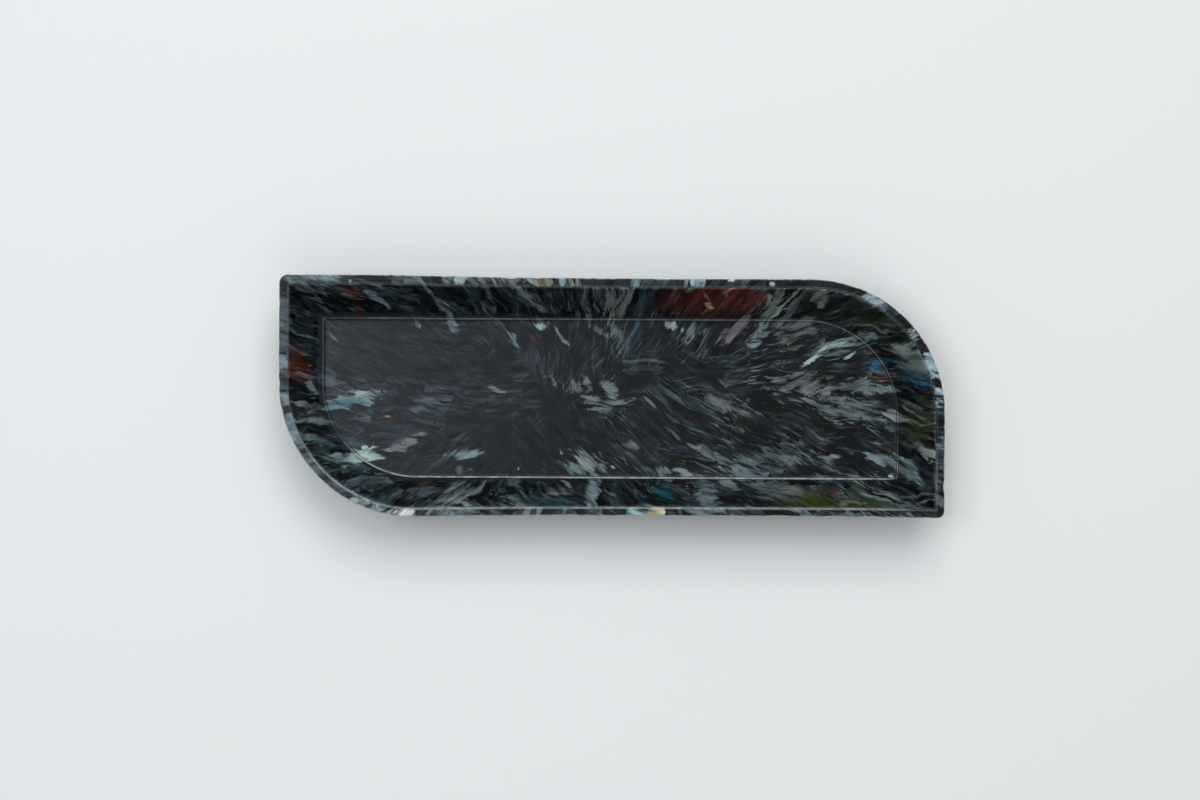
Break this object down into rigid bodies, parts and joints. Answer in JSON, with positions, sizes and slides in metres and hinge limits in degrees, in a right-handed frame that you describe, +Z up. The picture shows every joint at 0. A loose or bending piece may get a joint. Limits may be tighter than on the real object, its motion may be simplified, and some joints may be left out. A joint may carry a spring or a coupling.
{
  "type": "pen tray",
  "caption": "Shallow pen tray pressed from marbled recycled plastic, with flared walls, a leaf-shaped plan with tight and broad corners, and stick-on feet.",
  "frame": {"origin": "on the desk surface, under the middle of the tray", "axes": "+X along the tray's length, +Y across it towards the back, +Z up. The broad corners are front left and back right"},
  "size_m": [0.22, 0.08, 0.022],
  "materials": {
    "marbled_plastic": "satin",
    "foot_rubber": "matte"
  },
  "bodies": {
    "root": {"tray_body": "marbled_plastic", "foot_back_left": "foot_rubber", "foot_back_right": "foot_rubber", "foot_front_left": "foot_rubber", "foot_front_right": "foot_rubber"}
  },
  "joints": []
}
